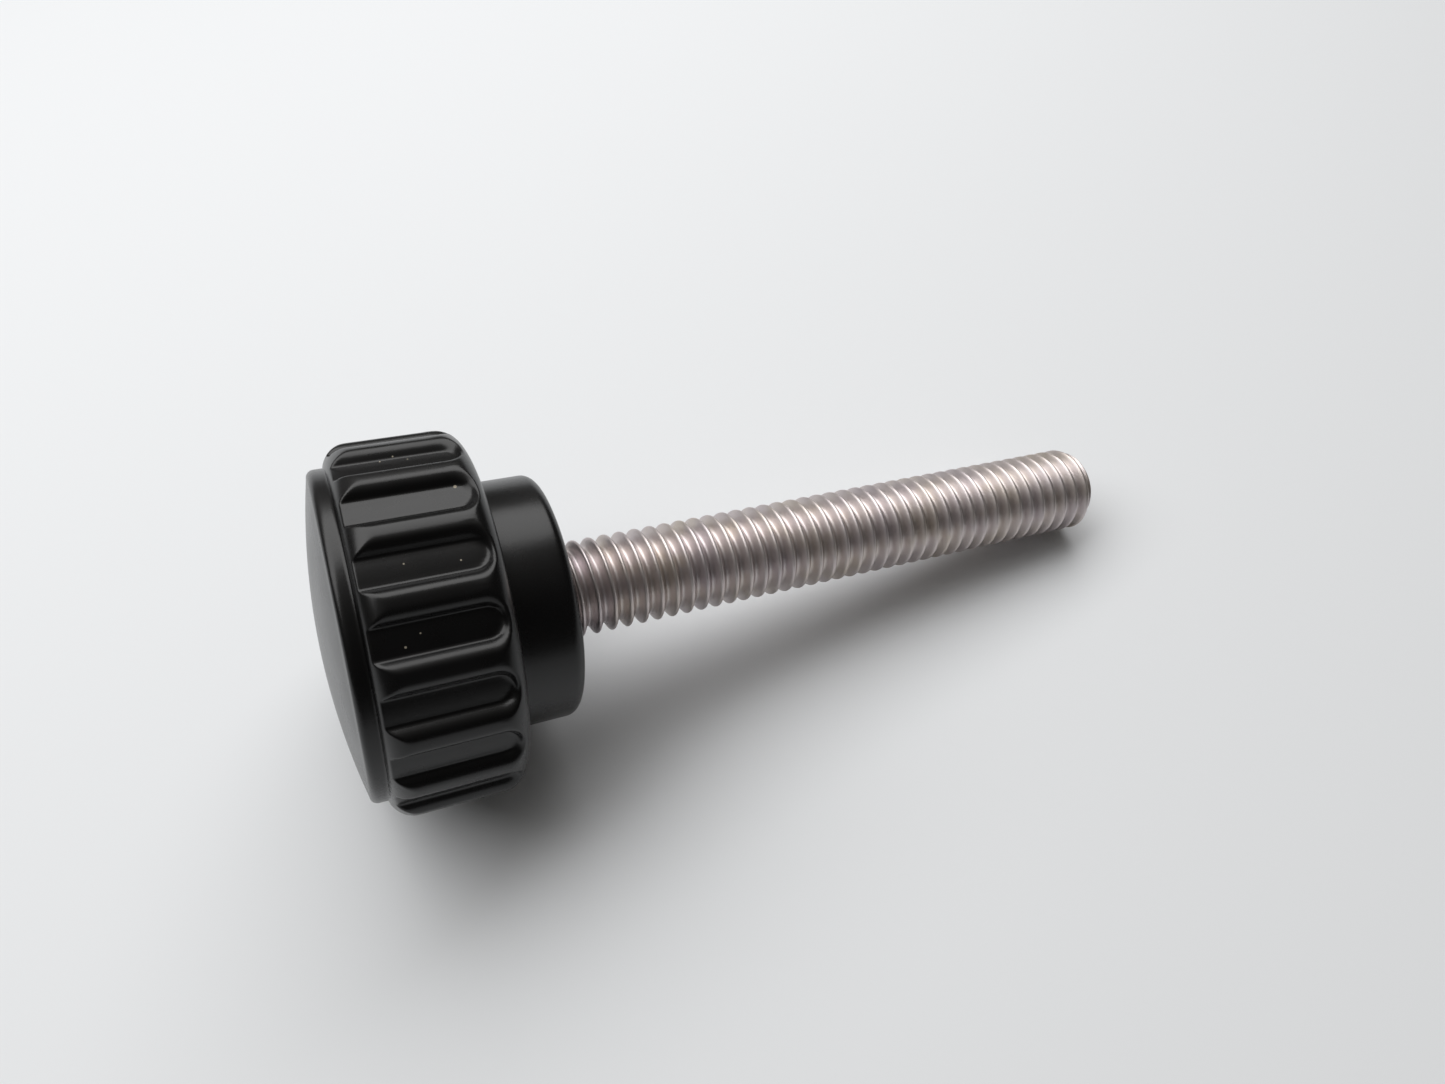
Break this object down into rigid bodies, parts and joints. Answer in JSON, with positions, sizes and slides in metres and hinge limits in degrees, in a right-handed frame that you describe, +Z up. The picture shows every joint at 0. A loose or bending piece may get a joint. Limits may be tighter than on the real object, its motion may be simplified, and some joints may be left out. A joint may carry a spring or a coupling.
{
  "type": "thumb screw",
  "caption": "Hand-turned M6 screw: a fluted round black plastic head with a smooth hub, moulded onto a long fully threaded steel stud.",
  "frame": {"origin": "on the table under the middle of the screw as it lies at rest, millimetres in the source", "axes": "+Z up, +X along the table from the head towards the stud's tip; the screw's own axis lies in the XZ plane and slopes 9.7 degrees down towards the tip"},
  "size_m": [0.0536, 0.0214, 0.0217],
  "materials": {
    "black_plastic": "moulded, satin to semi-gloss",
    "zinc_steel": "bright zinc plate on a rolled thread"
  },
  "bodies": {
    "root": {"head": "black_plastic", "stud": "zinc_steel"}
  },
  "joints": []
}
